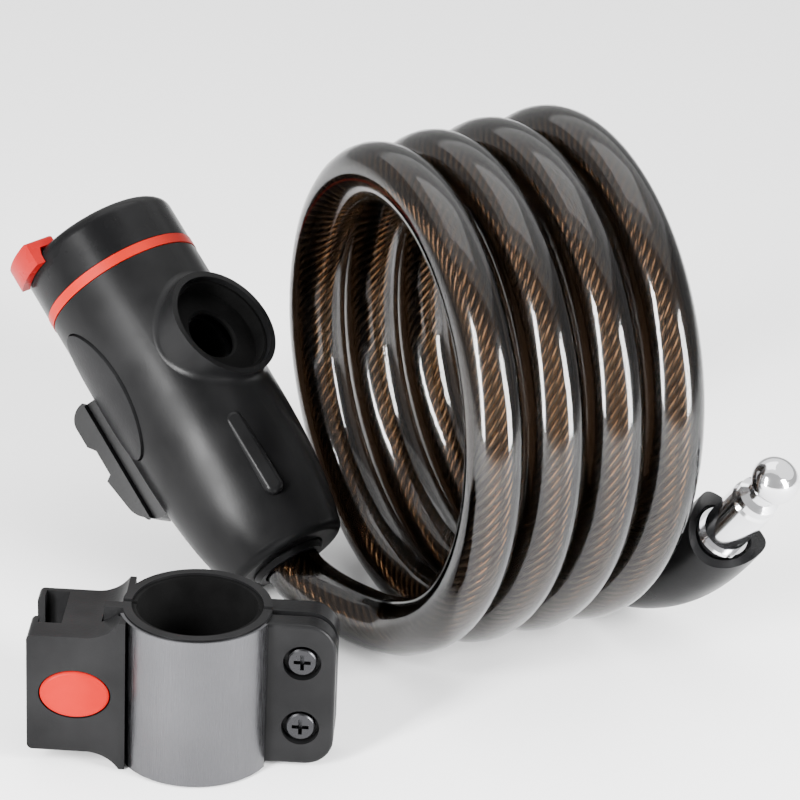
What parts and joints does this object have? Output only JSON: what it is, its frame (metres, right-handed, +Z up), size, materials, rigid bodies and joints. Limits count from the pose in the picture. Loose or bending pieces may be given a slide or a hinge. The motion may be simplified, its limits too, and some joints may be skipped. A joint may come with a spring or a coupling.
{
  "type": "cable lock",
  "caption": "Coiled cable lock with a key head, a push-in locking pin on the other end, and a tube bracket that holds the head.",
  "frame": {"origin": "on the floor, under the middle of the box around the rigid pieces", "axes": "+Z up and along the bracket tube clamp, +X to the right and +Y away as the lock is seen in its product view"},
  "size_m": [0.1808, 0.148, 0.1158],
  "materials": {
    "cable_jacket": "clear smoke-grey jacket over steel rope",
    "black_casing": "satin soft-touch",
    "colour_band": "satin",
    "red_cover": "glossy",
    "red_button": "satin",
    "core_metal": "machined",
    "brass": "machined",
    "steel": "brushed",
    "black_screws": "black oxide",
    "pin_chrome": "polished",
    "liner_rubber": "matt",
    "front_plate": "satin gunmetal"
  },
  "bodies": {
    "lock": {"cable_coil": "cable_jacket", "cable_lead": "cable_jacket", "cable_tail": "cable_jacket", "collar_screw": "steel", "colour_band": "colour_band", "core_housing": "core_metal", "exit_bush": "black_casing", "ferrule_screw": "steel", "grip_sleeve": "black_casing", "head_ferrule": "steel", "key_collar": "black_casing", "locking_pin": "pin_chrome", "mount_shoe": "black_casing", "pin_boot": "black_casing", "pin_ferrule": "steel", "plug_pin": "steel", "shoe_screws": "black_screws", "socket_liner": "liner_rubber", "thumb_pads": "black_casing"},
    "dust_cover": {"dust_cover": "red_cover"},
    "key_plug": {"key_plug": "brass", "detainer_discs": "brass", "sidebar": "brass", "cam": "brass"},
    "latch": {"latch": "steel"},
    "bracket": {"bracket_body": "black_casing", "clamp_front": "black_casing", "front_plate": "front_plate", "clamp_liner": "liner_rubber", "clamp_screws": "black_screws", "clamp_nuts": "steel", "button_spring": "steel"},
    "release_button": {"release_button": "red_button"}
  },
  "joints": [
    {"name": "cover_turn", "type": "hinge", "parent": "lock", "child": "dust_cover", "pos_m": [-0.07035, 0.05793, 0.06546], "axis": [-0.5609, 0.5473, 0.6211], "range_deg": [0, 90]},
    {"name": "key_turn", "type": "hinge", "parent": "lock", "child": "key_plug", "pos_m": [-0.06137, 0.04917, 0.05552], "axis": [0.5609, -0.5473, -0.6211], "range_deg": [0, 90]},
    {"name": "latch_slide", "type": "slide", "parent": "lock", "child": "latch", "axis": [-0.6269, -0.7708, 0.1131], "range_m": [0, 0.00283]},
    {"name": "bracket_lift", "type": "slide", "parent": "lock", "child": "bracket", "axis": [0, 0, 1], "range_m": [0, 0.06]},
    {"name": "button_press", "type": "slide", "parent": "bracket", "child": "release_button", "axis": [0, 1, 0], "range_m": [0, 0.0022], "stiffness_N_per_m": 400, "deforming": ["button_spring"]}
  ],
  "couplings": [
    {"joint": "latch_slide", "follows": "key_turn", "m_per_rad": 0.0018}
  ]
}
